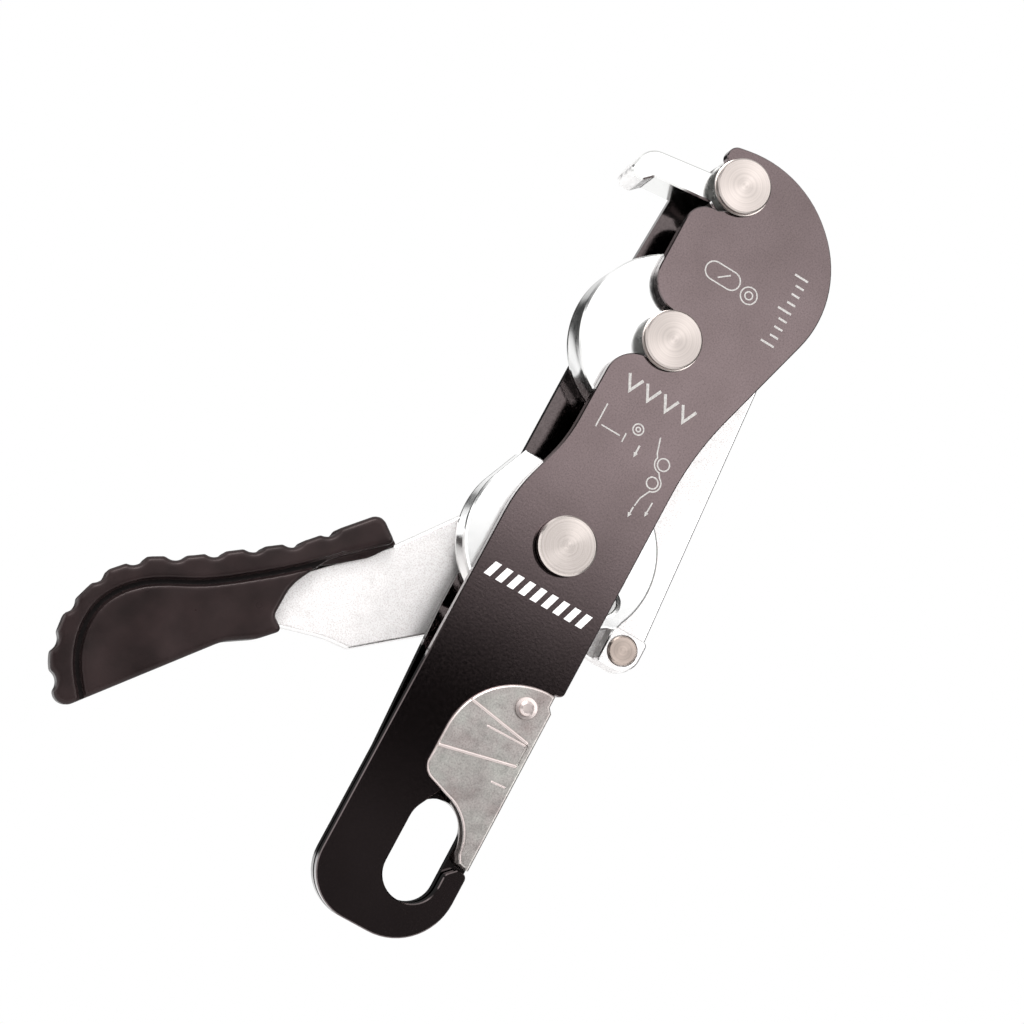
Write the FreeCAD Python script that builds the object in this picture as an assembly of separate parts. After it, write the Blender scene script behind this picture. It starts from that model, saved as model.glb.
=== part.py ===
import FreeCAD, Part
import math
import os

# Self-braking rope descender, millimetres.
# +Z runs along the body towards the anchor end of the rope, +X to the right of the
# closed front plate, +Y from the front plate to the rear. The origin is the centre of
# the attachment hole, in the plane of the front plate's outer face.

# Driving dimensions
PLATE = 3.5                  # thickness of both side plates
GAP = 14.0                   # rope space between the side plates
SIDE_RUN = 0.3               # side clearance of pieces that turn past each other
PIVOT_RUN = 0.05             # radial clearance of a turning fit
LOWER_AXLE = (-5.5, 87.0)    # x, z of the three axles
UPPER_AXLE = (-6.5, 150.0)
TOP_AXLE = (-9.4, 197.2)
PIVOT_R = 5.0                # lower axle
RIVET_R = 4.0                # body of the two upper axles
NECK_R = 4.1                 # neck that the front plate hooks onto
SLOT_R = 4.6                 # notch in the front plate round a neck
HEAD_T = 2.7                 # thickness of an axle head
BOBBIN_R = 24.4
HOLE_R = 7.4                 # attachment hole, an oblong with round ends
HOLE_HALF = 14.0             # half of its height
BODY_LEFT = -24.2            # straight sides of the lower body
BODY_RIGHT = 12.9
BODY_BOTTOM = -24.5
LOWER_GAP = 1.8              # space between the plates beside the attachment hole
JOGGLE_TOP = 60.0            # the rear plate bends forward between these heights
JOGGLE_END = 18.0
BEND_R = 3.0                 # inner bend radius of the joggle
LEVER_T = 4.0                # lever plate, behind the rear plate
SQUEEZE = 30.0               # travel of the lever, degrees
GATE_RELIEF = 28.0           # slope of the edge that clears the open gate, degrees
GATE_PIVOT = (5.5, 44.7)
GATE_T = 1.0                 # gate sheet
DRIVE_PIN = (12.3, 80.3)     # rivet that ties the brake cam to the lever plate
KEEPER = (25.0, 73.1)        # rope keeper pin at the lever plate's right corner
DRIVE_R = 3.0
DRIVE_HEAD_R = 3.4
AXLE_HEAD_R = 8.0            # heads of the lower and middle axles
TOP_HEAD_R = 7.6
TAIL_R = 5.6                 # countersunk tail of an upper axle
TAIL_T = 1.6
BUSH_R = 6.6                 # outside of the two bronze bushes
DOWEL_R = 1.5
DOWELS = [(-6.5, 163.0), (-6.5, 137.0), (-18.0, 193.8)]
CHEEK = 1.9                  # width of a bobbin's cheek beside its rope groove
GROOVE_DEPTH = 0.8           # of the fixed bobbin's rope groove
CAM_FLOOR = 0.955            # outline of the cam's groove, as a share of its cheeks' outline
SPRING_POCKET_R = 11.8       # pocket behind the cam for its return spring
SPRING_LOW = 10.4
SPRING_WIRE_R = 0.8
SPRING_MEAN_R = 9.6
GATE_RIVET_R = 1.5
KEEPER_PIN_R = 2.5
KEEPER_HEAD_R = 4.0
KEEPER_FACE = 15.0
KEEPER_REACH = 5.5           # from the keeper pin to the block's right and lower sides
TANG_HOLES = [(-72.0, 34.5), (-82.0, 24.0)]
TANG_HOLE_R = 2.5            # moulding holes, filled by the grip
GRIP_FACE = 15.8
GRIP_BACK = 30.8
GRIP_EDGE = 0.9              # chamfer round the grip
SCALLOPS = 10                # finger scallops along the grip's outer edge
SCALLOP_START = 22.9         # along the outline from the grip's end cap
SCALLOP_PITCH = 10.3
SCALLOP_R = 3.6
SCALLOP_DEPTH = 1.2
RIM_GROOVE_R = 1.1           # round groove between the grip's rim and its panel
RIM_GROOVE_SINK = 0.6        # of its centre below the grip's face
GATE_RIM = 0.75              # rounding of the gate's front edges
# Pressed ribs of the gate, from end to end, with their radius; then a scored line
RIBS = [((-7.9, 39.8), (10.0, 36.9), 0.5), ((-1.2, 35.9), (9.8, 36.1), 0.36),
        ((-10.1, 25.6), (10.2, 30.2), 0.5), ((6.6, 23.8), (10.3, 24.1), 0.36)]
SCORE = ((10.4, 36.2), (10.4, 30.9), 0.36)

# Depths that follow from them
FRONT_IN = PLATE
REAR_FACE = PLATE + GAP
REAR_BACK = REAR_FACE + PLATE
LOW_FACE = FRONT_IN + LOWER_GAP
LOW_BACK = LOW_FACE + PLATE
ROLL_FRONT = FRONT_IN + SIDE_RUN
ROLL_REAR = REAR_FACE - SIDE_RUN
LEVER_FACE = REAR_BACK + SIDE_RUN
LEVER_BACK = LEVER_FACE + LEVER_T
HEAD_UNDER = -SIDE_RUN
Y_AXIS = FreeCAD.Vector(0, 1, 0)


def at(point, depth=0.0):
    """Point of a plane of constant depth, from its x and z."""
    return FreeCAD.Vector(point[0], depth, point[1])


def in_section(point, width=0.0):
    """Point of a plane of constant x, from its depth and z."""
    return FreeCAD.Vector(width, point[0], point[1])


def rounded(corners, place=at):
    """Closed wire of straight runs joined by tangent arcs, from (u, v, radius) corners."""
    points = [place((u, v)) for u, v, radius in corners]
    arcs = []
    for number, corner in enumerate(corners):
        here = points[number]
        back = (points[number - 1] - here).normalize()
        ahead = (points[(number + 1) % len(points)] - here).normalize()
        half = back.getAngle(ahead) / 2
        radius = corner[2]
        reach = radius / math.tan(half)
        inward = (back + ahead).normalize()
        middle = here + inward * (radius / math.sin(half) - radius)
        arcs.append((here + back * reach, middle, here + ahead * reach))
    edges = []
    for number, (first, middle, last) in enumerate(arcs):
        edges.append(Part.Arc(first, middle, last).toShape())
        following = arcs[(number + 1) % len(arcs)][0]
        if last.distanceToPoint(following) > 0.001:
            edges.append(Part.LineSegment(last, following).toShape())
    return Part.Wire(edges)


def route(start, steps):
    """Closed wire from start: a step is an (x, z) line end or (x, z, x, z) arc middle and end."""
    edges = []
    here = at(start)
    for step in steps:
        if len(step) == 2:
            following = at(step)
            edges.append(Part.LineSegment(here, following).toShape())
        else:
            following = at(step[2:])
            edges.append(Part.Arc(here, at(step[:2]), following).toShape())
        here = following
    return Part.Wire(edges)


def slab(wire, low, high):
    """Solid of a flat wire between two depths."""
    solid = Part.Face(wire).extrude(Y_AXIS * (high - low))
    solid.translate(Y_AXIS * low)
    return solid


def disc(centre, radius, low, high):
    return Part.makeCylinder(radius, high - low, at(centre, low), Y_AXIS)


def ring(centre, outer, inner, low, high):
    return disc(centre, outer, low, high).cut(disc(centre, inner, low - 1, high + 1))


def turned(centre, profile):
    """Solid of revolution about a Y axis, from (radius, depth) points."""
    points = [FreeCAD.Vector(radius, depth, 0) for radius, depth in profile]
    face = Part.Face(Part.makePolygon(points + points[:1]))
    solid = face.revolve(FreeCAD.Vector(0, 0, 0), Y_AXIS, 360)
    solid.translate(at(centre))
    return solid


def face_edges(solid, depth):
    """Edges of a solid that lie in the plane of the given depth."""
    tolerance = 0.001
    return [edge for edge in solid.Edges
            if abs(edge.BoundBox.YMin - depth) < tolerance
            and abs(edge.BoundBox.YMax - depth) < tolerance]


def coil(centre, mean_radius, wire_radius, turns, low, leg):
    """Torsion spring: close-wound coil about Y with a straight tangential leg at its front end."""
    pitch = 2 * wire_radius * 1.06
    helix = Part.makeHelix(pitch, pitch * turns, mean_radius)
    start = helix.Vertexes[0].Point
    section = Part.Wire([Part.makeCircle(wire_radius, start, FreeCAD.Vector(0, 1, 0))])
    spring = Part.Wire(helix.Edges).makePipeShell([section], True, True)
    spring.rotate(FreeCAD.Vector(0, 0, 0), FreeCAD.Vector(1, 0, 0), -90)
    spring.translate(at(centre, low + wire_radius))
    leg_start = at((centre[0] + mean_radius, centre[1]), low + wire_radius)
    straight = Part.makeCylinder(wire_radius, leg, leg_start, FreeCAD.Vector(0, 0, 1))
    return spring.fuse(straight).removeSplitter()


def turn_about(centre, point, degrees):
    """Where a point goes on a turn about a Y axis, clockwise as seen from the front."""
    angle = math.radians(degrees)
    x = point[0] - centre[0]
    z = point[1] - centre[1]
    return (centre[0] + x * math.cos(angle) + z * math.sin(angle),
            centre[1] - x * math.sin(angle) + z * math.cos(angle))


def oblong(half_height, radius):
    """Attachment hole's wire, centred on the origin."""
    straight = half_height - radius
    return route((-radius, straight), [(0, half_height, radius, straight), (radius, -straight),
                                       (0, -half_height, -radius, -straight), (-radius, straight)])


def gate_cut_corner():
    """Where the front plate's edge beside the pivot turns to follow the open gate."""
    reach = 5.4
    return turn_about(GATE_PIVOT, (GATE_PIVOT[0] + reach, GATE_PIVOT[1]), GATE_RELIEF)


def make_front_plate():
    """Swinging side plate: two open notches, a hook round the attachment hole, a gate cut-out."""
    top_x, top_z = TOP_AXLE
    mid_x, mid_z = UPPER_AXLE
    cut_x, cut_z = gate_cut_corner()
    slope = math.tan(math.radians(GATE_RELIEF))
    hole_left = -7.8
    cut_end_z = cut_z - (cut_x - hole_left) / slope
    corners = [
        (-17.2, 206.3, 3.0), (4.3, 211.3, 32.0), (31.2, 185.8, 31.0), (13.6, 126.3, 90.0),
        (13.2, 51.6, 1.6), (10.9, 51.6, 0.5), (10.9, 43.6, 4.0), (hole_left, cut_end_z, 8.0),
        (hole_left, -HOLE_HALF, HOLE_R), (7.5, -HOLE_HALF, HOLE_R), (7.5, -2.6, 2.0),
        (10.2, 0.1, 1.0), (BODY_RIGHT, -0.4, 1.6), (BODY_RIGHT, BODY_BOTTOM, 16.3),
        (-23.8, BODY_BOTTOM, 13.0), (BODY_LEFT, 94.0, 40.0), (-18.5, 112.9, 40.0),
        (-18.2, 142.9, 8.4), (mid_x - 3.0, 142.9, 1.0), (mid_x + SLOT_R, mid_z - 5.0, SLOT_R),
        (mid_x + SLOT_R, mid_z + 5.0, SLOT_R), (mid_x - 2.5, 157.6, 1.0), (-18.9, 157.4, 9.4),
        (-18.9, 188.2, 6.2), (top_x - 2.8, 188.2, 1.0), (top_x + SLOT_R, top_z - 5.0, SLOT_R),
        (top_x + SLOT_R, top_z + 4.8, SLOT_R), (-17.2, 201.2, 2.3)]
    plate = slab(rounded(corners), 0, PLATE)
    plate = plate.makeChamfer(0.3, face_edges(plate, 0))
    spring_pocket = ring(GATE_PIVOT, 3.9, GATE_RIVET_R, 1.1, PLATE + 1)
    plate = plate.cut(disc(LOWER_AXLE, PIVOT_R + PIVOT_RUN, -1, PLATE + 1))
    return plate.cut(disc(GATE_PIVOT, GATE_RIVET_R, -1, PLATE + 1)).cut(spring_pocket)


def make_rear_plate():
    """Fixed side plate: joggled forward below the cam, with a closed attachment hole."""
    outline = rounded([
        (-21.9, 197.4, 4.5), (-13.0, 204.6, 6.0), (4.0, 210.9, 26.0), (31.2, 185.8, 31.0),
        (13.6, 126.3, 90.0), (BODY_RIGHT, BODY_BOTTOM, 16.3), (-23.8, BODY_BOTTOM, 13.0),
        (-24.4, 135.0, 60.0)])
    run = REAR_FACE - LOW_FACE
    lean = math.atan2(run, JOGGLE_TOP - JOGGLE_END)
    drop = PLATE * math.tan(lean / 2)
    above = 215.0
    below = BODY_BOTTOM - 5
    outer_bend = BEND_R + PLATE
    section = rounded([
        (REAR_FACE, above, 0.1), (REAR_FACE, JOGGLE_TOP, BEND_R), (LOW_FACE, JOGGLE_END, outer_bend),
        (LOW_FACE, below, 0.1), (LOW_BACK, below, 0.1), (LOW_BACK, JOGGLE_END - drop, BEND_R),
        (REAR_BACK, JOGGLE_TOP - drop, outer_bend), (REAR_BACK, above, 0.1)], in_section)
    strip = Part.Face(section).extrude(FreeCAD.Vector(100, 0, 0))
    strip.translate(FreeCAD.Vector(-50, 0, 0))
    plate = strip.common(slab(outline, LOW_FACE - 1, REAR_BACK + 1))
    for axle in (UPPER_AXLE, TOP_AXLE):
        plate = plate.cut(turned(axle, axle_tail()))
    plate = plate.cut(disc(LOWER_AXLE, PIVOT_R, REAR_FACE - 1, REAR_BACK + 1))
    plate = plate.cut(slab(oblong(HOLE_HALF, HOLE_R), LOW_FACE - 1, LOW_BACK + 1))
    for dowel in DOWELS:
        plate = plate.cut(disc(dowel, DOWEL_R, REAR_FACE - 1, REAR_BACK - 1))
    return plate.cut(make_drive_notch())


def make_drive_notch():
    """Open notch in the rear plate's right edge, whose ends stop the drive pin."""
    low, high = REAR_FACE - 1, REAR_BACK + 1
    side = DRIVE_PIN[0] - LOWER_AXLE[0]
    rise = DRIVE_PIN[1] - LOWER_AXLE[1]
    arm = math.hypot(side, rise)
    rest = math.degrees(math.atan2(rise, side))
    wide = DRIVE_R + 0.3
    beyond_edge = 12
    far = (LOWER_AXLE[0] + arm + beyond_edge, LOWER_AXLE[1])
    corners = [at(LOWER_AXLE)] + [at(turn_about(LOWER_AXLE, far, -rest - turn)) for turn in (0, SQUEEZE)]
    wedge = slab(Part.makePolygon(corners + corners[:1]), low, high)
    notch = wedge.cut(disc(LOWER_AXLE, arm - wide, low - 1, high + 1))
    for turn in (0, SQUEEZE):
        end = turn_about(LOWER_AXLE, DRIVE_PIN, -turn)
        channel = Part.makeBox(beyond_edge, high - low, 2 * wide, FreeCAD.Vector(0, 0, -wide))
        channel.rotate(FreeCAD.Vector(0, 0, 0), Y_AXIS, -(rest + turn))
        channel.translate(at(end, low))
        notch = notch.fuse(channel).fuse(disc(end, wide, low, high))
    return notch


def axle_tail():
    """Profile of the hole, and of the rivet, through a plate with a flush countersunk tail."""
    return [(0, REAR_FACE), (RIVET_R, REAR_FACE), (RIVET_R, REAR_BACK - TAIL_T), (TAIL_R, REAR_BACK),
            (0, REAR_BACK)]


def make_headed_axle(centre, head_r):
    """Riveted axle of an upper piece: turned head, neck for the front plate, flush tail."""
    edge = 0.45
    top = HEAD_UNDER - HEAD_T
    profile = [(0, top), (head_r - edge, top), (head_r, top + edge), (head_r, HEAD_UNDER - 0.5),
               (head_r + 0.3, HEAD_UNDER - 0.4), (head_r + 0.3, HEAD_UNDER), (NECK_R, HEAD_UNDER),
               (NECK_R, ROLL_FRONT), (RIVET_R, ROLL_FRONT), (RIVET_R, REAR_BACK - TAIL_T),
               (TAIL_R, REAR_BACK), (0, REAR_BACK)]
    return turned(centre, profile)


def make_lower_axle():
    """Pivot axle: head in front, running surfaces, and a groove behind for its clip."""
    edge = 0.45
    under = HEAD_UNDER - 0.4
    top = under - HEAD_T
    head_r = AXLE_HEAD_R
    end = LEVER_BACK + 2.2
    clip_low = LEVER_BACK + 0.5
    profile = [(0, top), (head_r - edge, top), (head_r, top + edge), (head_r, under), (PIVOT_R, under),
               (PIVOT_R, clip_low), (PIVOT_R - 0.8, clip_low), (PIVOT_R - 0.8, clip_low + 1.0),
               (PIVOT_R, clip_low + 1.0), (PIVOT_R, end - 0.4), (PIVOT_R - 0.4, end), (0, end)]
    return turned(LOWER_AXLE, profile)


def make_upper_bobbin():
    """Fixed bobbin, with a shallow round rope groove between two cheeks."""
    edge = 0.5
    low, high = ROLL_FRONT, REAR_FACE
    front = [(RIVET_R, low), (BOBBIN_R - edge, low), (BOBBIN_R, low + edge), (BOBBIN_R, low + CHEEK)]
    rear = [(BOBBIN_R, high - CHEEK), (BOBBIN_R, high - edge), (BOBBIN_R - edge, high), (RIVET_R, high)]
    front_points = [FreeCAD.Vector(radius, depth, 0) for radius, depth in front]
    rear_points = [FreeCAD.Vector(radius, depth, 0) for radius, depth in rear]
    groove_floor = FreeCAD.Vector(BOBBIN_R - GROOVE_DEPTH, (low + high) / 2, 0)
    edges = Part.makePolygon(front_points).Edges
    edges.append(Part.Arc(front_points[-1], groove_floor, rear_points[0]).toShape())
    edges += Part.makePolygon(rear_points + front_points[:1]).Edges
    bobbin = Part.Face(Part.Wire(edges)).revolve(FreeCAD.Vector(0, 0, 0), Y_AXIS, 360)
    bobbin.translate(at(UPPER_AXLE))
    for dowel in DOWELS[:2]:
        bobbin = bobbin.cut(disc(dowel, DOWEL_R, REAR_FACE - 6, REAR_FACE + 1))
    return bobbin


def cam_wire(depth, scale):
    """Outline of the brake cam at a depth, shrunk towards the lower axle by scale."""
    wire = route((-26.2, 105.0), [
        (14.0, 105.0), (21.2, 87.5, 18.8, 77.6), (17.9, 75.6, 15.8, 74.7), (4.0, 67.1),
        (-24.9, 70.4, -30.5, 94.5), (-26.2, 105.0)])
    wire.scale(scale, at(LOWER_AXLE))
    wire.translate(Y_AXIS * depth)
    return wire


def make_brake_cam():
    """Pivoting lower bobbin: D-shaped, grooved, with room behind for the return spring."""
    edge = 0.5
    low, high = ROLL_FRONT, ROLL_REAR
    sections = [(low, 0.98), (low + edge, 1.0), (low + CHEEK, 1.0), (low + 4.4, CAM_FLOOR),
                (high - 4.4, CAM_FLOOR), (high - CHEEK, 1.0), (high - edge, 1.0), (high, 0.98)]
    cam = Part.makeLoft([cam_wire(depth, scale) for depth, scale in sections], True, True)
    cam = cam.cut(disc(LOWER_AXLE, BUSH_R, low - 1, high + 1))
    cam = cam.cut(ring(LOWER_AXLE, SPRING_POCKET_R, BUSH_R + 0.9, SPRING_LOW - 0.3, high + 1))
    cam = cam.cut(disc(DRIVE_PIN, 4.0, low - 1, low + 3.2))
    cam = cam.cut(disc(DRIVE_PIN, DRIVE_R, low - 1, high + 1))
    return cam


def make_cam_bush():
    """Bronze bush pressed in the cam, running on the lower axle."""
    return ring(LOWER_AXLE, BUSH_R, PIVOT_R + PIVOT_RUN, ROLL_FRONT, ROLL_REAR)


def make_drive_pin():
    """Stepped rivet: recessed head in the cam, shank past the rear plate, flush in the lever."""
    head_low = ROLL_FRONT + 1.2
    head_high = ROLL_FRONT + 3.2
    profile = [(0, head_low), (DRIVE_HEAD_R - 0.4, head_low), (DRIVE_HEAD_R, head_low + 0.4),
               (DRIVE_HEAD_R, head_high), (DRIVE_R, head_high), (DRIVE_R, LEVER_BACK), (0, LEVER_BACK)]
    return turned(DRIVE_PIN, profile)


def lever_corners():
    """Lever plate seen from the front: hub, right fin, keeper corner, arm and tang."""
    return [
        (-15.0, 105.6, 12.0), (5.0, 105.6, 14.0), (21.2, 158.5, 2.5), (26.0, 160.0, 2.5),
        (31.9, 67.6, 5.5), (-2.7, 67.6, 12.0), (-39.6, 37.6, 2.0), (-47.0, 36.9, 30.0),
        (-59.5, 33.4, 2.0), (-66.0, 34.0, 4.0), (-88.0, 8.0, 5.0), (-98.5, 13.0, 6.0),
        (-93.0, 24.0, 10.0), (-60.0, 50.0, 14.0), (-42.0, 68.5, 8.0)]


def make_lever_plate():
    """Steel lever plate behind the rear plate, with rounded front edges."""
    plate = slab(rounded(lever_corners()), LEVER_FACE, LEVER_BACK)
    plate = plate.makeFillet(0.9, face_edges(plate, LEVER_FACE))
    plate = plate.cut(disc(LOWER_AXLE, BUSH_R, LEVER_FACE - 1, LEVER_BACK + 1))
    plate = plate.cut(disc(KEEPER, KEEPER_PIN_R, LEVER_FACE - 1, LEVER_BACK + 1))
    for point in TANG_HOLES:
        plate = plate.cut(disc(point, TANG_HOLE_R, LEVER_FACE - 1, LEVER_BACK + 1))
    return plate.cut(disc(DRIVE_PIN, DRIVE_R, LEVER_FACE - 1, LEVER_BACK + 1))


def make_keeper_block():
    """Block on the lever plate's front that keeps the rope on its side of the cam."""
    x, z = KEEPER
    left = 19.9
    right = x + KEEPER_REACH
    low = z - KEEPER_REACH
    corners = [(left, z + 5.2, 1.0), (right, z + 5.2, 1.5), (right, low, 5.4), (left, low, 0.8)]
    block = slab(rounded(corners), KEEPER_FACE, LEVER_FACE)
    block = block.makeChamfer(0.4, face_edges(block, KEEPER_FACE))
    block = block.cut(disc(KEEPER, KEEPER_HEAD_R + 0.35, KEEPER_FACE - 1, KEEPER_FACE + 1.2))
    return block.cut(disc(KEEPER, KEEPER_PIN_R, KEEPER_FACE - 1, LEVER_FACE + 1))


def make_keeper_pin():
    """Headed rivet through the keeper block and the lever plate."""
    head_low = KEEPER_FACE - 0.6
    head_high = KEEPER_FACE + 1.2
    profile = [(0, head_low), (KEEPER_HEAD_R - 0.4, head_low), (KEEPER_HEAD_R, head_low + 0.4),
               (KEEPER_HEAD_R, head_high), (KEEPER_PIN_R, head_high), (KEEPER_PIN_R, LEVER_BACK),
               (KEEPER_PIN_R + 1.2, LEVER_BACK), (KEEPER_PIN_R + 0.8, LEVER_BACK + 0.9),
               (0, LEVER_BACK + 0.9)]
    return turned(KEEPER, profile)


def make_grip():
    """Moulded grip round the tang: finger scallops, a grooved-off rim, a thin skirt on the plate."""
    outline = rounded([
        (-43.0, 67.9, 1.2), (-50.0, 73.0, 3.2), (-65.0, 55.6, 25.0), (-88.5, 38.0, 60.0),
        (-98.0, 32.4, 10.0),
        (-105.6, 23.8, 10.0), (-109.2, 11.0, 14.0), (-107.4, -1.6, 14.0), (-98.6, -13.3, 3.4),
        (-70.2, 22.7, 12.0), (-62.5, 27.8, 6.0), (-57.9, 32.8, 1.2), (-61.7, 35.4, 1.6),
        (-61.7, 44.4, 14.0),
        (-56.3, 55.6, 18.0)])
    grip = slab(outline, GRIP_FACE, GRIP_BACK)
    grip = grip.makeChamfer(GRIP_EDGE, face_edges(grip, GRIP_FACE) + face_edges(grip, GRIP_BACK))
    wide_r = SCALLOP_R + GRIP_EDGE
    cutter = [(0, GRIP_FACE), (wide_r, GRIP_FACE), (SCALLOP_R, GRIP_FACE + GRIP_EDGE),
              (SCALLOP_R, GRIP_BACK - GRIP_EDGE), (wide_r, GRIP_BACK), (0, GRIP_BACK)]
    points_per_mm = 10
    track = outline.discretize(Number=int(outline.Length * points_per_mm))
    for scallop in range(SCALLOPS):
        step = int(points_per_mm * (SCALLOP_START + SCALLOP_PITCH * scallop))
        outward = (track[step + 5] - track[step - 5]).normalize().cross(Y_AXIS)
        centre = track[step] - outward * (SCALLOP_R - SCALLOP_DEPTH)
        grip = grip.cut(turned((centre.x, centre.z), cutter))
    groove_points = [(-53.0, 58.6), (-62.1, 49.4), (-72.4, 40.8), (-83.0, 33.2), (-93.7, 27.2),
                     (-98.9, 22.4), (-102.4, 15.9), (-102.9, 9.2), (-101.7, 4.0), (-99.4, -0.8),
                     (-96.3, -5.0), (-93.6, -8.2)]
    for depth in (GRIP_FACE + RIM_GROOVE_SINK, GRIP_BACK - RIM_GROOVE_SINK):
        line = Part.BSplineCurve()
        line.interpolate([at(point, depth) for point in groove_points])
        start = line.value(line.FirstParameter)
        along = line.tangent(line.FirstParameter)[0]
        section = Part.Wire([Part.makeCircle(RIM_GROOVE_R, start, along)])
        grip = grip.cut(Part.Wire([line.toShape()]).makePipeShell([section], True, False))
    skirt = rounded([(-62.0, 49.5, 0.8), (-52.9, 56.2, 12.0), (-46.6, 61.6, 12.0), (-42.3, 68.1, 0.3),
                     (-45.0, 70.0, 0.5), (-58.0, 57.0, 3.0)])
    skirt_wall = 1.6
    grip = grip.fuse(slab(skirt, LEVER_FACE - skirt_wall, LEVER_BACK + skirt_wall))
    return grip.cut(make_lever_plate())


def make_horn():
    """Friction horn: boss on the top axle and a bar that ends in a down-turned nose."""
    boss = disc(TOP_AXLE, 8.5, ROLL_FRONT, REAR_FACE)
    corners = [
        (-12.0, 198.9, 0.5), (-36.6, 194.8, 6.0), (-38.6, 185.3, 2.3), (-33.7, 185.7, 0.8),
        (-31.2, 188.3, 1.8), (-12.0, 190.7, 0.5)]
    horn = slab(rounded(corners), ROLL_FRONT, REAR_FACE).fuse(boss).removeSplitter()
    horn = horn.makeChamfer(0.5, face_edges(horn, ROLL_FRONT))
    horn = horn.cut(disc(TOP_AXLE, RIVET_R, ROLL_FRONT - 1, REAR_FACE + 1))
    return horn.cut(disc(DOWELS[2], DOWEL_R, REAR_FACE - 6, REAR_FACE + 1))


def make_dowels():
    """Pins that stop the horn and the upper bobbin from turning on their axles."""
    return Part.makeCompound([disc(place, DOWEL_R, REAR_FACE - 6, REAR_BACK - 1) for place in DOWELS])


def gate_leaf():
    """Outline of the gate's front leaf: rounded above, hollowed towards the tip below."""
    return route((8.6, 51.2), [
        (-4.9, 45.1, -10.8, 30.6), (-10.8, 21.6), (-9.9, 18.6, -7.4, 16.9), (-1.9, 15.1),
        (4.9, 11.0, 8.0, 3.6), (9.3, 1.4), (12.3, 0.8), (12.3, 46.6), (11.1, 48.0), (11.1, 51.2),
        (8.6, 51.2)])


def ridge(start, end, radius, depth):
    """Round bar with ball ends between two points of a plane of constant depth."""
    first = at(start, depth)
    last = at(end, depth)
    rib = Part.makeCylinder(radius, first.distanceToPoint(last), first, last - first)
    for point in (first, last):
        rib = rib.fuse(Part.makeSphere(radius, point))
    return rib


def make_gate():
    """Sprung gate: one folded sheet, a leaf each side of the front plate and a fold between."""
    front_out = -SIDE_RUN - GATE_T
    rear_in = PLATE + SIDE_RUN
    rear_out = rear_in + GATE_T
    leaf = slab(gate_leaf(), front_out, -SIDE_RUN)
    leaf = leaf.makeFillet(GATE_RIM, face_edges(leaf, front_out))
    for rib in RIBS:
        leaf = leaf.fuse(ridge(*rib, front_out + 0.2))
    leaf = leaf.cut(ridge(*SCORE, front_out))
    fold_x = 12.3
    fold_low = 0.8
    fold_run = 45.8
    corner = FreeCAD.Vector(fold_x - GATE_T, front_out, fold_low)
    fold = Part.makeBox(GATE_T, rear_out - front_out, fold_run, corner)
    fold = fold.makeFillet(0.8, [edge for edge in fold.Edges
                                 if abs(edge.BoundBox.XMin - fold_x) < 0.01 and edge.Length > 40])
    right_part = rounded([(-2.5, 50.5, 4.0), (13, 50.5, 0.1), (13, -1, 0.1), (4.0, -1, 0.5),
                          (0.5, 15, 6.0)])
    rear_leaf = slab(gate_leaf(), rear_in, rear_out).common(slab(right_part, rear_in - 1, rear_out + 1))
    trim_corner = FreeCAD.Vector(fold_x - 0.7, front_out - 1, fold_low)
    trimmed = leaf.cut(Part.makeBox(5, 3, fold_run, trim_corner))
    gate = trimmed.fuse([fold, rear_leaf]).removeSplitter()
    return gate.cut(disc(GATE_PIVOT, GATE_RIVET_R + PIVOT_RUN, -5, PLATE + 5))


def make_gate_rivet():
    """Pivot of the gate: domed head on a wide base in front, low head behind."""
    front = -SIDE_RUN - GATE_T - 0.1
    rear = PLATE + SIDE_RUN + GATE_T + 0.1
    profile = [(0, front - 1.5), (1.3, front - 1.5), (1.9, front - 1.1), (2.0, front - 0.6),
               (2.9, front - 0.5), (2.9, front), (GATE_RIVET_R, front), (GATE_RIVET_R, rear), (2.2, rear),
               (2.0, rear + 0.25), (0, rear + 0.25)]
    return turned(GATE_PIVOT, profile)


def make_clip():
    """Open spring clip in the groove at the lower axle's rear end."""
    low = LEVER_BACK + 0.5
    clip = ring(LOWER_AXLE, 7.4, PIVOT_R - 0.8, low, low + 1.0)
    mouth = Part.makeBox(7.0, 3.0, 10.0, at((LOWER_AXLE[0] - 3.5, LOWER_AXLE[1] - 10.0), low - 1))
    return clip.cut(mouth)


def make_parts():
    """Every piece by name, in the assembled position."""
    return {
        "rear_plate": make_rear_plate(),
        "top_axle": make_headed_axle(TOP_AXLE, TOP_HEAD_R),
        "upper_axle": make_headed_axle(UPPER_AXLE, AXLE_HEAD_R),
        "lower_axle": make_lower_axle(),
        "upper_bobbin": make_upper_bobbin(),
        "friction_horn": make_horn(),
        "locating_dowels": make_dowels(),
        "thrust_washer": ring(LOWER_AXLE, 7.2, PIVOT_R, HEAD_UNDER - 0.4, HEAD_UNDER),
        "retaining_clip": make_clip(),
        "front_plate": make_front_plate(),
        "gate_rivet": make_gate_rivet(),
        "gate_spring": coil(GATE_PIVOT, 2.7, 0.3, 2.5, 1.3, 0.7),
        "gate": make_gate(),
        "brake_cam": make_brake_cam(),
        "cam_bush": make_cam_bush(),
        "return_spring": coil(LOWER_AXLE, SPRING_MEAN_R, SPRING_WIRE_R, 3.0, SPRING_LOW, 3.0),
        "drive_pin": make_drive_pin(),
        "lever_plate": make_lever_plate(),
        "lever_bush": ring(LOWER_AXLE, BUSH_R, PIVOT_R + PIVOT_RUN, LEVER_FACE, LEVER_BACK + 0.2),
        "keeper_block": make_keeper_block(),
        "keeper_pin": make_keeper_pin(),
        "handle_grip": make_grip(),
    }


os.makedirs("parts", exist_ok=True)
for name, shape in make_parts().items():
    shape.exportStep("parts/" + name + ".step")
    print(name, shape.isValid(), len(shape.Solids), round(shape.Volume, 1))
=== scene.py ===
import math

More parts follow.
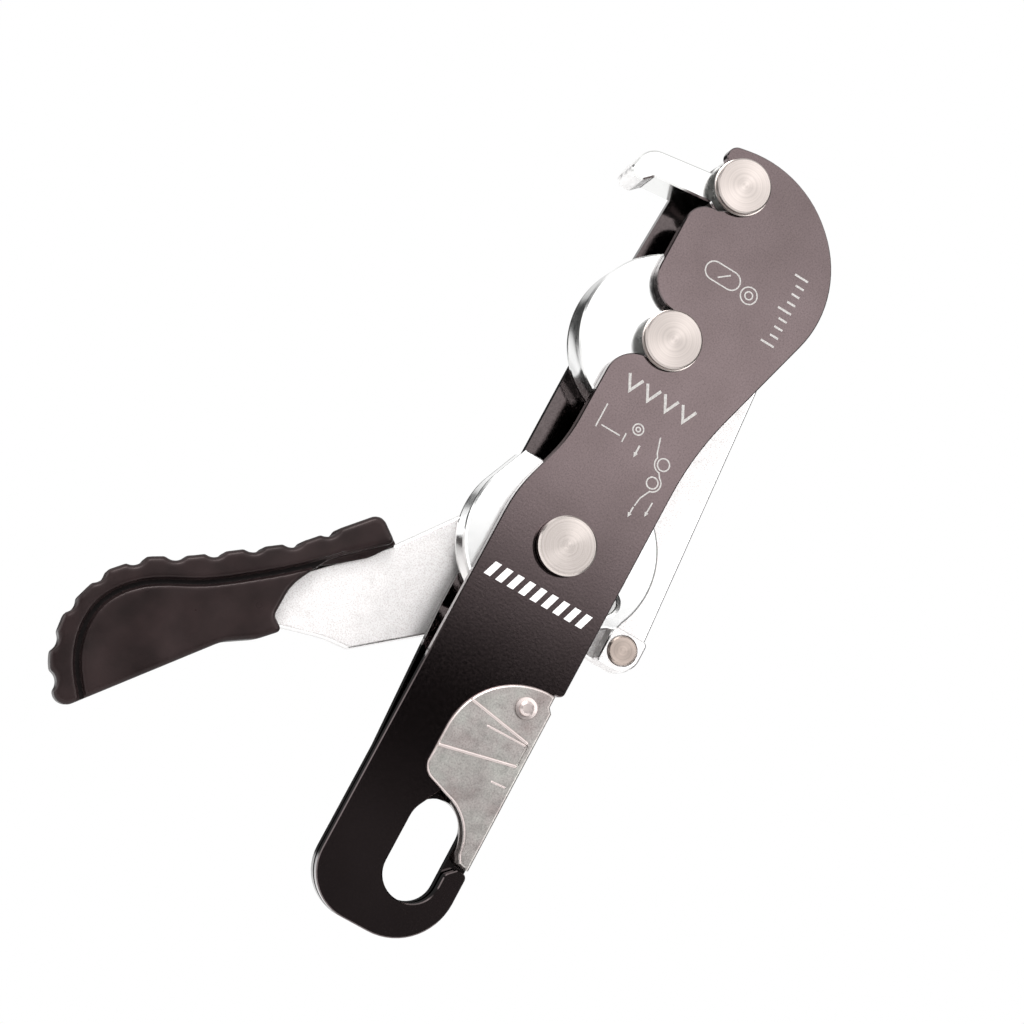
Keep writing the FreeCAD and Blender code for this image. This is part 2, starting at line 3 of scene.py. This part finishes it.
import bpy
from mathutils import Matrix, Vector


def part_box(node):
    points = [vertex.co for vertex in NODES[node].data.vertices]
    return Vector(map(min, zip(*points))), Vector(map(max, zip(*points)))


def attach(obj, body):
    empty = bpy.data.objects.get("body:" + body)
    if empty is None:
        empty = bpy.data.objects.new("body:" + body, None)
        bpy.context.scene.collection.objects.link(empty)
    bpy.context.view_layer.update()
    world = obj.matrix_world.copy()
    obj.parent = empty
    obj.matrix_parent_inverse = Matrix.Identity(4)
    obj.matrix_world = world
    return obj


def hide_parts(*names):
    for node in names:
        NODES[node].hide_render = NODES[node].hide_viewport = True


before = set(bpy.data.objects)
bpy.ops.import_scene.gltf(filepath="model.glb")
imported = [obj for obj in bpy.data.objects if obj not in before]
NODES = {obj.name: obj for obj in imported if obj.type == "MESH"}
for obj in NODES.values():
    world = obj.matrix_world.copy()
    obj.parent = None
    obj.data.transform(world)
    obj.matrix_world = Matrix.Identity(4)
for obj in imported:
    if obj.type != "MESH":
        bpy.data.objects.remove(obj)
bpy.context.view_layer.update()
MM = 0.001
AXLE_FACE = -0.5 * MM        # what lies deeper on an axle than its head
GATE_FACE = -1.3 * MM        # front of the gate's sheet
GATE_FOLD = 2.5 * MM         # width of the gate's folded right side
HORN_EYE = 8.7 * MM          # the horn's wall within this reach of the top axle carries a near-black painted shade
HORN_NOSE = 24 * MM          # and beyond this it is satin
GRIP_VOXEL = 0.42 * MM
GROOVE_SUNK = (0.45 * MM, 2.2 * MM)    # floor of the grip's groove, below the grip's faces, which gets the painted shade
# Painted shade on the lever plate by x in mm: darkest beside the body
PAINTED_SHADE_BESIDE_BODY = ((-40, 0.96), (-30, 1.04), (-27.6, 0.95), (-26.2, 0.72), (-24.8, 0.42), (-20, 0.42),
               (0, 1.0))


scene = bpy.context.scene


# ---- Materials ---------------------------------------------------------------------------

def new_material(name, colour, metallic, roughness, **sockets):
    """Principled material; returns it with its node tree and shader."""
    material = bpy.data.materials.new(name)
    material.use_nodes = True
    tree = material.node_tree
    shader = tree.nodes["Principled BSDF"]
    shader.inputs["Base Color"].default_value = (*colour, 1)
    shader.inputs["Metallic"].default_value = metallic
    shader.inputs["Roughness"].default_value = roughness
    for socket, value in sockets.items():
        shader.inputs[socket.replace("_", " ")].default_value = value
    return material, tree, shader


def add(tree, kind, **settings):
    node = tree.nodes.new("ShaderNode" + kind)
    for key, value in settings.items():
        setattr(node, key, value)
    return node


def object_point(tree):
    return add(tree, "TexCoord").outputs["Object"]


def noise(tree, size_mm, detail=3.0, roughness=0.5, stretch=None):
    """Noise whose features are about size_mm across, in the row frame's metres."""
    node = add(tree, "TexNoise")
    node.inputs["Scale"].default_value = 1 / (size_mm * MM)
    node.inputs["Detail"].default_value = detail
    node.inputs["Roughness"].default_value = roughness
    source = object_point(tree)
    if stretch:
        mapping = add(tree, "Mapping")
        mapping.inputs["Scale"].default_value = stretch
        tree.links.new(source, mapping.inputs["Vector"])
        source = mapping.outputs["Vector"]
    tree.links.new(source, node.inputs["Vector"])
    return node.outputs["Fac"]


def ramp(tree, source, *stops):
    """Colour ramp from (position, colour) stops; a single number stands for a grey."""
    node = add(tree, "ValToRGB")
    elements = node.color_ramp.elements
    while len(elements) < len(stops):
        elements.new(0.5)
    for element, (position, colour) in zip(elements, stops):
        element.position = position
        shade = (colour, colour, colour) if isinstance(colour, (int, float)) else colour
        element.color = (*shade, 1)
    tree.links.new(source, node.inputs["Fac"])
    return node.outputs["Color"]


def bump(tree, shader, source, strength, height_mm, before=None):
    node = add(tree, "Bump")
    node.inputs["Strength"].default_value = strength
    node.inputs["Distance"].default_value = height_mm * MM
    tree.links.new(source, node.inputs["Height"])
    if before:
        tree.links.new(before, node.inputs["Normal"])
    tree.links.new(node.outputs["Normal"], shader.inputs["Normal"])
    return node.outputs["Normal"]


def multiplied(tree, one, two):
    node = add(tree, "VectorMath", operation="MULTIPLY")
    tree.links.new(one, node.inputs[0])
    tree.links.new(two, node.inputs[1])
    return node.outputs["Vector"]


def link_colour(tree, shader, source):
    tree.links.new(source, shader.inputs["Base Color"])


def link_roughness(tree, shader, source):
    tree.links.new(source, shader.inputs["Roughness"])


def anodised(name, low, high):
    """Dark dyed aluminium: fine blasted grain under a satin film, faint cloudiness."""
    material, tree, shader = new_material(name, low, 1.0, 0.25)
    cloud = ramp(tree, noise(tree, 14, 4), (0.3, low), (0.75, high))
    speck = ramp(tree, noise(tree, 0.42, 3, 0.7), (0.36, 0.78), (0.48, 1.0), (0.64, 1.13))
    link_colour(tree, shader, multiplied(tree, cloud, speck))
    link_roughness(tree, shader, ramp(tree, noise(tree, 0.9, 5), (0.25, 0.07), (0.8, 0.115)))
    grain = bump(tree, shader, noise(tree, 0.8, 2.5), 0.3, 0.016)
    bump(tree, shader, noise(tree, 0.3, 2), 0.2, 0.006, grain)
    return material


def across(tree, *stops):
    """Painted shade by the distance across the object, from (x in mm, share) stops."""
    split = add(tree, "SeparateXYZ")
    tree.links.new(object_point(tree), split.inputs["Vector"])
    first, last = stops[0][0], stops[-1][0]
    place = add(tree, "MapRange")
    place.inputs["From Min"].default_value = first * MM
    place.inputs["From Max"].default_value = last * MM
    tree.links.new(split.outputs["X"], place.inputs["Value"])
    return ramp(tree, place.outputs["Result"],
                *[((x - first) / (last - first), share) for x, share in stops])


def blasted(name, low, high, roughness, grain_mm):
    """Bead-blasted light metal: even sparkle, slight mottling, and a painted shade beside the body."""
    material, tree, shader = new_material(name, high, 1.0, roughness)
    grains = ramp(tree, noise(tree, grain_mm, 4, 0.6), (0.35, low), (0.55, high))
    # painted shade: the lever plate darkens towards the body
    beside = across(tree, *PAINTED_SHADE_BESIDE_BODY)
    link_colour(tree, shader, multiplied(tree, grains, beside))
    link_roughness(tree, shader, ramp(tree, noise(tree, 3, 3), (0.3, roughness - 0.05),
                                      (0.7, roughness + 0.07)))
    grain = bump(tree, shader, noise(tree, grain_mm, 3), 0.6, 0.035)
    bump(tree, shader, noise(tree, grain_mm * 0.4, 2), 0.3, 0.012, grain)
    return material


def zinc_sheet():
    """Zinc-plated spring sheet: pink and green cast in patches, dark pits, scuffed gloss."""
    material, tree, shader = new_material("zinc_sheet", (0.33, 0.31, 0.29), 1.0, 0.36)
    cast = ramp(tree, noise(tree, 11, 3, 0.6), (0.36, (0.33, 0.285, 0.275)), (0.5, (0.40, 0.37, 0.355)),
                (0.64, (0.43, 0.42, 0.395)))
    pits = ramp(tree, noise(tree, 0.45, 2, 0.6), (0.3, 0.74), (0.5, 0.98), (0.7, 1.16))
    link_colour(tree, shader, multiplied(tree, cast, pits))
    link_roughness(tree, shader, ramp(tree, noise(tree, 2.5, 4), (0.3, 0.34), (0.7, 0.46)))
    waves = bump(tree, shader, noise(tree, 9, 1), 0.3, 0.08)
    bump(tree, shader, noise(tree, 0.5, 3), 0.4, 0.015, waves)
    return material


def polished(name, colour, roughness):
    """Bright machined metal with faint turning lines along its rim."""
    material, tree, shader = new_material(name, colour, 1.0, roughness)
    link_roughness(tree, shader, ramp(tree, noise(tree, 2.2, 3), (0.3, roughness * 0.8),
                                      (0.8, roughness * 1.3)))
    lines = noise(tree, 0.35, 2, stretch=(0.02, 1.0, 0.02))
    bump(tree, shader, lines, 0.05, 0.003)
    return material


def radius_from(tree, centre):
    """Distance from the Y axis through centre, in metres."""
    away = add(tree, "VectorMath", operation="SUBTRACT")
    tree.links.new(object_point(tree), away.inputs[0])
    away.inputs[1].default_value = centre
    flat = add(tree, "VectorMath", operation="MULTIPLY")
    tree.links.new(away.outputs["Vector"], flat.inputs[0])
    flat.inputs[1].default_value = (1, 0, 1)
    length = add(tree, "VectorMath", operation="LENGTH")
    tree.links.new(flat.outputs["Vector"], length.inputs[0])
    return length.outputs["Value"]


def turned(name, node, colour, roughness, sheen, pitch_mm, depth, groove_shade):
    """Lathe-turned end face: rings round the node's own axis, darker in the grooves, radial sheen."""
    low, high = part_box(node)
    centre = (low + high) / 2
    material, tree, shader = new_material(name, colour, 1.0, roughness, Anisotropic=sheen)
    tangent = add(tree, "Tangent", direction_type="RADIAL", axis="Y")
    tree.links.new(tangent.outputs["Tangent"], shader.inputs["Tangent"])
    radius = radius_from(tree, centre)
    rings = add(tree, "TexNoise", noise_dimensions="1D")
    rings.inputs["Scale"].default_value = 1 / (pitch_mm * MM)
    rings.inputs["Detail"].default_value = 3
    tree.links.new(radius, rings.inputs["W"])
    shade = ramp(tree, rings.outputs["Fac"], (0.35, [part * groove_shade for part in colour]),
                 (0.6, colour))
    link_colour(tree, shader, shade)
    bump(tree, shader, rings.outputs["Fac"], depth, 0.03)
    return material


def put(node, *materials):
    """These materials in place of a CAD node's own."""
    slots = NODES[node].data.materials
    slots.clear()
    for material in materials:
        slots.append(material)


def beyond(node, depth):
    """A node's second material goes on its faces deeper than the given y."""
    for face in NODES[node].data.polygons:
        if face.center.y > depth:
            face.material_index = 1


def by_distance(node, axle, near, far):
    """On a node's side walls: second material near an axle, third far from it."""
    low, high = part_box(axle)
    centre = (low + high) / 2
    for face in NODES[node].data.polygons:
        away = face.center - centre
        reach = math.hypot(away.x, away.z)
        if abs(face.normal.y) < 0.5 and reach < near:
            face.material_index = 1
        elif abs(face.normal.y) < 0.5 and reach > far:
            face.material_index = 2


def bright_edges(node, low=0.25, high=0.97):
    """A node's second material goes on its chamfers, the faces that lean away from the front."""
    for face in NODES[node].data.polygons:
        if low < -face.normal.y < high:
            face.material_index = 1


def pressed_edges(node, fold_x, sheet_y):
    """Second material, a painted highlight, on what stands proud of a sheet's face, and on its rim left
    of the fold.
    """
    for face in NODES[node].data.polygons:
        rim = 0.25 < -face.normal.y < 0.97 and face.center.x < fold_x
        if rim or face.center.y < sheet_y:
            face.material_index = 1


DARK = (0.120, 0.093, 0.094)
DARK_HIGH = (0.140, 0.109, 0.111)
front_finish = anodised("front_anodised", DARK, DARK_HIGH)
# a darker copy of the front plate's anodise: real grain, with painted shade on the rear plate behind the
# front plate
rear_anodise_and_painted_shade = anodised("rear_anodised", (0.07, 0.058, 0.058), (0.09, 0.075, 0.075))
edge_finish, edge_tree, edge_shader = new_material("worn_chamfer", (0.13, 0.108, 0.108), 1.0, 0.08)
link_roughness(edge_tree, edge_shader, ramp(edge_tree, noise(edge_tree, 1.2, 4), (0.3, 0.05),
                                            (0.7, 0.1)))
cam_metal = polished("polished_cam", (0.93, 0.93, 0.925), 0.2)
bobbin_metal = polished("polished_bobbin", (0.74, 0.74, 0.735), 0.2)
horn_metal = polished("polished_steel", (0.72, 0.72, 0.71), 0.16)
nose_metal = polished("satin_steel", (0.90, 0.89, 0.885), 0.55)
# near-black steel: painted shade on the horn's wall round the top axle
shaded_metal = polished("horn_painted_shade", (0.07, 0.058, 0.055), 0.4)
lever_metal = blasted("blasted_lever", (0.68, 0.64, 0.632), (0.90, 0.885, 0.88), 0.5, 0.36)
lever_edge = polished("lever_edge", (0.80, 0.79, 0.785), 0.22)
zinc_metal = zinc_sheet()
# lighter zinc: the rivet's own colour, and a painted highlight on the gate's ridges and its left and top
# rims
rivet_zinc_and_painted_highlight = polished("rivet_zinc_and_painted_highlight", (0.64, 0.56, 0.54), 0.34)
plain_metal = polished("plain_steel", (0.62, 0.62, 0.61), 0.3)
wire_metal = polished("spring_steel", (0.4, 0.4, 0.4), 0.35)
bronze = polished("bronze", (0.55, 0.38, 0.2), 0.4)

put("front_plate", front_finish, edge_finish)
bright_edges("front_plate")
put("rear_plate", rear_anodise_and_painted_shade)
put("upper_bobbin", bobbin_metal)
put("brake_cam", cam_metal)
# the horn's wall near the top axle gets the painted shade; its nose walls get the satin steel
put("friction_horn", horn_metal, shaded_metal, nose_metal)
by_distance("friction_horn", "top_axle", HORN_EYE, HORN_NOSE)
for name in ("lever_plate", "keeper_block"):
    put(name, lever_metal, lever_edge)
    bright_edges(name)
put("gate", zinc_metal, rivet_zinc_and_painted_highlight)
# painted highlight: the lighter zinc on the gate's ridges and on its rims left of the fold
pressed_edges("gate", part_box("gate")[1].x - GATE_FOLD, GATE_FACE - 0.02 * MM)
put("gate_rivet", rivet_zinc_and_painted_highlight)
put("drive_pin", plain_metal)
for name in ("locating_dowels", "thrust_washer"):
    put(name, plain_metal)
for name in ("return_spring", "gate_spring", "retaining_clip"):
    put(name, wire_metal)
for name in ("cam_bush", "lever_bush"):
    put(name, bronze)
put("lower_axle", turned("turned_lower", "lower_axle", (0.62, 0.558, 0.527), 0.2, 0.88, 0.5, 0.06, 0.9),
    plain_metal)
for name in ("upper_axle", "top_axle"):
    put(name, turned("turned_" + name, name, (0.52, 0.465, 0.438), 0.33, 0.4, 0.6, 0.18, 0.86),
        plain_metal)
for name in ("lower_axle", "upper_axle", "top_axle"):
    beyond(name, AXLE_FACE)
put("keeper_pin", turned("turned_keeper", "keeper_pin", (0.55, 0.46, 0.41), 0.3, 0.6, 0.7, 0.35, 0.76))

grip_finish, grip_tree, grip_shader = new_material(
    "grip_plastic", (0.012, 0.008, 0.0075), 0.0, 0.3, Specular_IOR_Level=0.22,
    Specular_Tint=(1.0, 0.84, 0.83, 1))
link_colour(grip_tree, grip_shader, ramp(grip_tree, noise(grip_tree, 9, 5),
                                         (0.3, (0.009, 0.006, 0.006)), (0.75, (0.022, 0.014, 0.014))))
link_roughness(grip_tree, grip_shader, ramp(grip_tree, noise(grip_tree, 14, 2, 0.5), (0.3, 0.26),
                                            (0.7, 0.42)))
bump(grip_tree, grip_shader, noise(grip_tree, 0.7, 4), 0.3, 0.04)
# near-black plastic: painted shade on the floor of the grip's groove
groove_painted_shade, groove_tree, groove_shader = new_material(
    "grip_groove_painted_shade", (0.004, 0.0028, 0.0028), 0.0, 0.6, Specular_IOR_Level=0.08)
link_colour(groove_tree, groove_shader, ramp(groove_tree, noise(groove_tree, 3, 3),
                                             (0.3, (0.003, 0.002, 0.002)), (0.7, (0.006, 0.004, 0.004))))
put("handle_grip", grip_finish)


# ---- Pieces built here -------------------------------------------------------------------

def evaluated_copy(source, name, *modifiers):
    """New mesh object: the source's mesh with the modifiers applied."""
    piece = bpy.data.objects.new(name, source.data.copy())
    scene.collection.objects.link(piece)
    for kind, settings in modifiers:
        modifier = piece.modifiers.new(kind, kind)
        for key, value in settings.items():
            setattr(modifier, key, value)
    graph = bpy.context.evaluated_depsgraph_get()
    mesh = bpy.data.meshes.new_from_object(piece.evaluated_get(graph))
    piece.modifiers.clear()
    piece.data = mesh
    return piece


def smooth(piece):
    piece.data.polygons.foreach_set("use_smooth", [True] * len(piece.data.polygons))


grip = evaluated_copy(
    NODES["handle_grip"], "moulded_grip",
    ("REMESH", {"mode": "VOXEL", "voxel_size": GRIP_VOXEL}),
    ("SMOOTH", {"factor": 0.5, "iterations": 5}))
smooth(grip)
grip.data.materials.clear()
grip.data.materials.append(grip_finish)
grip.data.materials.append(groove_painted_shade)
grip_low, grip_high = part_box("handle_grip")
grip_middle = (grip_low.y + grip_high.y) / 2
grip_half = (grip_high.y - grip_low.y) / 2
# the groove's floor gets the painted shade
for face in grip.data.polygons:
    sunk = grip_half - abs(face.center.y - grip_middle)
    if GROOVE_SUNK[0] < sunk < GROOVE_SUNK[1] and abs(face.normal.y) > 0.8:
        face.material_index = 1
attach(grip, "handle")
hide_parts("handle_grip")


# ---- Etched marks on the front plate, plain shapes only ----------------------------------

class Etching:
    """Thin flat shapes on the front plate's face, in millimetres, as one mesh of closed shapes."""

    top = -0.03
    bottom = 0.02

    def __init__(self):
        self.vertices = []
        self.faces = []

    def shape(self, loop):
        """A filled outline of (x, z) points, convex, in order."""
        first = len(self.vertices)
        count = len(loop)
        for depth in (self.top, self.bottom):
            self.vertices += [(x * MM, depth * MM, z * MM) for x, z in loop]
        self.faces.append([first + step for step in range(count)])
        self.faces.append([first + count + step for step in reversed(range(count))])
        for step in range(count):
            ahead = (step + 1) % count
            self.faces.append([first + ahead, first + step,
                               first + count + step, first + count + ahead])

    def stroke(self, points, width, closed=False):
        """A line of even width along the points, mitred at its corners."""
        first = len(self.vertices)
        count = len(points)
        path = [Vector(point) for point in points]
        for number, point in enumerate(path):
            back = path[number - 1] if number or closed else None
            ahead = path[(number + 1) % count] if number < count - 1 or closed else None
            before = (point - back).normalized() if back else (ahead - point).normalized()
            after = (ahead - point).normalized() if ahead else before
            tangent = (before + after).normalized()
            side = Vector((-tangent.y, tangent.x)) * (width / 2 / max(0.5, tangent.dot(after)))
            for place in (point + side, point - side):
                for depth in (self.top, self.bottom):
                    self.vertices.append((place.x * MM, depth * MM, place.y * MM))
        for number in range(count if closed else count - 1):
            a = first + 4 * number
            b = first + 4 * ((number + 1) % count)
            for one, two in ((0, 2), (2, 3), (3, 1), (1, 0)):
                self.faces.append([a + one, b + one, b + two, a + two])
        if not closed:
            last = first + 4 * (count - 1)
            self.faces.append([first, first + 2, first + 3, first + 1])
            self.faces.append([last, last + 1, last + 3, last + 2])

    def piece(self, name, material):
        mesh = bpy.data.meshes.new(name)
        mesh.from_pydata(self.vertices, [], self.faces)
        mesh.validate()
        mesh.materials.append(material)
        made = bpy.data.objects.new(name, mesh)
        scene.collection.objects.link(made)
        return made


def arc(centre, radius, start, end, steps=24):
    """Points on an arc, angles in degrees from +X towards +Z."""
    turn = [math.radians(start + (end - start) * step / steps) for step in range(steps + 1)]
    return [(centre[0] + radius * math.cos(a), centre[1] + radius * math.sin(a)) for a in turn]


def ring(etching, centre, radius, width):
    etching.stroke(arc(centre, radius, 0, 360)[:-1], width, closed=True)


def arrow(etching, tip, length, width, head, angle):
    """Arrow whose tip points towards angle."""
    along = Vector((math.cos(math.radians(angle)), math.sin(math.radians(angle))))
    side = Vector((-along.y, along.x))
    end = Vector(tip)
    neck = end - along * head
    etching.stroke([end - along * length, neck], width)
    etching.shape([tuple(end), tuple(neck - side * head * 0.45), tuple(neck + side * head * 0.45)])


etch_finish, etch_tree, etch_shader = new_material("etched_mark", (0.42, 0.40, 0.385), 0.0, 0.6)
link_colour(etch_tree, etch_shader, ramp(etch_tree, noise(etch_tree, 0.5, 3),
                                         (0.3, (0.30, 0.285, 0.275)), (0.6, (0.46, 0.445, 0.43))))
print_finish, print_tree, print_shader = new_material("printed_band", (0.8, 0.79, 0.78), 0.0, 0.5)
link_colour(print_tree, print_shader, ramp(print_tree, noise(print_tree, 0.6, 3),
                                           (0.2, (0.62, 0.6, 0.59)), (0.6, (0.84, 0.83, 0.82))))

marks = Etching()
LINE = 0.38
# Connector outline and an open ring beside it
marks.stroke(arc((-5.2, 173.2), 2.6, 90, 270, 12) + arc((0.2, 173.2), 2.6, -90, 90, 12), LINE,
             closed=True)
marks.stroke([(-3.6, 172.0), (-0.6, 174.4)], LINE)
ring(marks, (6.4, 172.2), 2.4, LINE)
ring(marks, (6.4, 172.2), 1.1, LINE)
# Graduated ticks near the right edge
for tick in range(9):
    reach = 4.2 if tick % 4 == 0 else 2.6
    height = 163.5 + 2.6 * tick
    marks.stroke([(19.2 - reach, height), (19.2, height)], 0.6)
# Row of chevrons that point down
for chevron in range(4):
    left = -12.2 + 5.6 * chevron
    marks.stroke([(left, 136.6), (left + 2.1, 132.4), (left + 4.2, 136.6)], 0.8)
# Rope section between two gauge lines
ring(marks, (-3.0, 124.4), 1.5, LINE)
ring(marks, (-3.0, 124.4), 0.6, LINE)
marks.stroke([(-13.6, 126.2), (-13.6, 119.2)], LINE)
marks.stroke([(-5.4, 121.8), (-5.4, 119.2)], LINE)
marks.stroke([(-12.4, 120.4), (-6.6, 120.4)], LINE)
arrow(marks, (-0.6, 117.2), 3.6, 0.5, 1.4, -90)
# Rope path: two rollers, the line between them and the pull
ring(marks, (7.6, 119.6), 1.7, LINE)
ring(marks, (7.2, 113.8), 1.6, LINE)
marks.stroke([(3.4, 125.6), (4.6, 121.5)] + arc((7.6, 119.6), 2.5, 160, 268, 8)
             + arc((7.2, 113.8), 2.4, 62, -80, 10) + [(6.2, 108.6), (5.8, 106.0)], LINE)
arrow(marks, (5.6, 102.4), 3.2, 0.4, 1.3, -92)
arrow(marks, (9.6, 104.8), 4.4, 0.4, 1.3, -92)
etched = marks.piece("etched_diagram", etch_finish)
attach(etched, "side_plate")

band = Etching()
for bar in range(9):
    left = -21.2 + 3.5 * bar
    band.shape([(left, 70.2), (left + 1.9, 70.2), (left + 3.3, 74.4), (left + 1.4, 74.4)])
printed = band.piece("printed_bars", print_finish)
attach(printed, "side_plate")


# ---- Floor, light and camera -------------------------------------------------------------

bpy.ops.mesh.primitive_circle_add(vertices=96, radius=1.1, fill_type="NGON", location=(0, 0.1, -0.34))
floor = bpy.context.object
floor.name = "floor"
floor_finish, floor_tree, floor_shader = new_material("pale_floor", (0.86, 0.86, 0.86), 0.0, 0.7)
link_colour(floor_tree, floor_shader, ramp(floor_tree, noise(floor_tree, 300, 2), (0.3, 0.84),
                                           (0.7, 0.88)))
floor.data.materials.append(floor_finish)


def area_light(name, place, aim, size, power, height=None):
    data = bpy.data.lights.new(name, "AREA")
    data.shape = "RECTANGLE"
    data.size = size
    data.size_y = height or size
    data.energy = power
    light = bpy.data.objects.new(name, data)
    scene.collection.objects.link(light)
    light.location = place
    light.rotation_euler = (Vector(aim) - Vector(place)).to_track_quat("-Z", "Y").to_euler()
    return light


AIM = (-0.02, 0.01, 0.09)
area_light("key", (-0.55, -0.75, 0.75), AIM, 0.5, 9)
area_light("fill", (0.7, -0.6, 0.25), AIM, 0.6, 4)
area_light("rim", (-0.8, 0.15, 0.1), AIM, 0.35, 1.5, 0.8)

world = bpy.data.worlds.new("studio")
scene.world = world
world.use_nodes = True
sky = world.node_tree
background = sky.nodes["Background"]
direction = add(sky, "TexCoord").outputs["Generated"]
split = add(sky, "SeparateXYZ")
sky.links.new(direction, split.inputs["Vector"])


def along(source, *stops):
    """Light by one part of a direction, from (-1 to 1, light) stops."""
    part = add(sky, "MapRange")
    part.inputs["From Min"].default_value = -1
    sky.links.new(source, part.inputs["Value"])
    return ramp(sky, part.outputs["Result"], *[((place + 1) / 2, light) for place, light in stops])


softbox = along(split.outputs["Z"], (-1, 0.15), (-0.25, 0.1), (0.0, 0.11), (0.04, 0.15), (0.07, 0.04),
                (0.1, 0.0), (0.12, 0.02), (0.133, 0.12), (0.15, 0.4), (0.173, 0.95), (0.19, 1.45),
                (0.205, 1.85), (0.225, 2.1), (0.28, 2.2), (0.35, 1.8), (0.6, 2.0), (1, 0.8))
behind = along(split.outputs["Z"], (-1, 0.9), (-0.5, 1.25), (-0.2, 1.25), (-0.06, 0.9), (-0.02, 0.05),
               (0.28, 0.04), (0.33, 0.7), (0.5, 1.0), (1, 0.9))
facing = add(sky, "MapRange", interpolation_type="SMOOTHSTEP")
facing.inputs["From Min"].default_value = -0.35
facing.inputs["From Max"].default_value = 0.2
sky.links.new(split.outputs["Y"], facing.inputs["Value"])
tent_mix = add(sky, "Mix", data_type="RGBA")
sky.links.new(facing.outputs["Result"], tent_mix.inputs["Factor"])
sky.links.new(softbox, tent_mix.inputs["A"])
sky.links.new(behind, tent_mix.inputs["B"])
left_light = along(split.outputs["Z"], (-1, 1.5), (0.09, 1.5), (0.13, 0.12), (1, 0.12))
flank_light = add(sky, "Mix", data_type="RGBA")
sky.links.new(along(split.outputs["X"], (-0.1, 0), (0.1, 1)), flank_light.inputs["Factor"])
sky.links.new(left_light, flank_light.inputs["A"])
flank_light.inputs["B"].default_value = (0.3, 0.3, 0.3, 1)
flank_mix = add(sky, "Mix", data_type="RGBA")
flanks = along(split.outputs["X"], (-0.93, 1), (-0.8, 0), (0.5, 0), (0.72, 1))
sky.links.new(flanks, flank_mix.inputs["Factor"])
sky.links.new(tent_mix.outputs["Result"], flank_mix.inputs["A"])
sky.links.new(flank_light.outputs["Result"], flank_mix.inputs["B"])
tent = flank_mix.outputs["Result"]
path = add(sky, "LightPath")
chosen = add(sky, "Mix", data_type="RGBA")
sky.links.new(path.outputs["Is Camera Ray"], chosen.inputs["Factor"])
sky.links.new(tent, chosen.inputs["A"])
chosen.inputs["B"].default_value = (1, 1, 1, 1)
sky.links.new(chosen.outputs["Result"], background.inputs["Color"])
background.inputs["Strength"].default_value = 1.0
scene.view_settings.view_transform = "Standard"

CAMERA_PLACE = (-0.1207, -0.578, -0.0231)
LENS_MM = 80.2
SENSOR_MM = 36
RIGHT = Vector((0.851, -0.235, 0.470))
FORWARD = Vector((0.165, 0.969, 0.186)).normalized()
right = (RIGHT - FORWARD * RIGHT.dot(FORWARD)).normalized()
up = right.cross(FORWARD)
lens = bpy.data.cameras.new("camera")
lens.sensor_width = SENSOR_MM
lens.lens = LENS_MM
camera = bpy.data.objects.new("camera", lens)
scene.collection.objects.link(camera)
turn = Matrix((right, up, -FORWARD)).transposed()
camera.matrix_world = Matrix.Translation(CAMERA_PLACE) @ turn.to_4x4()
scene.camera = camera
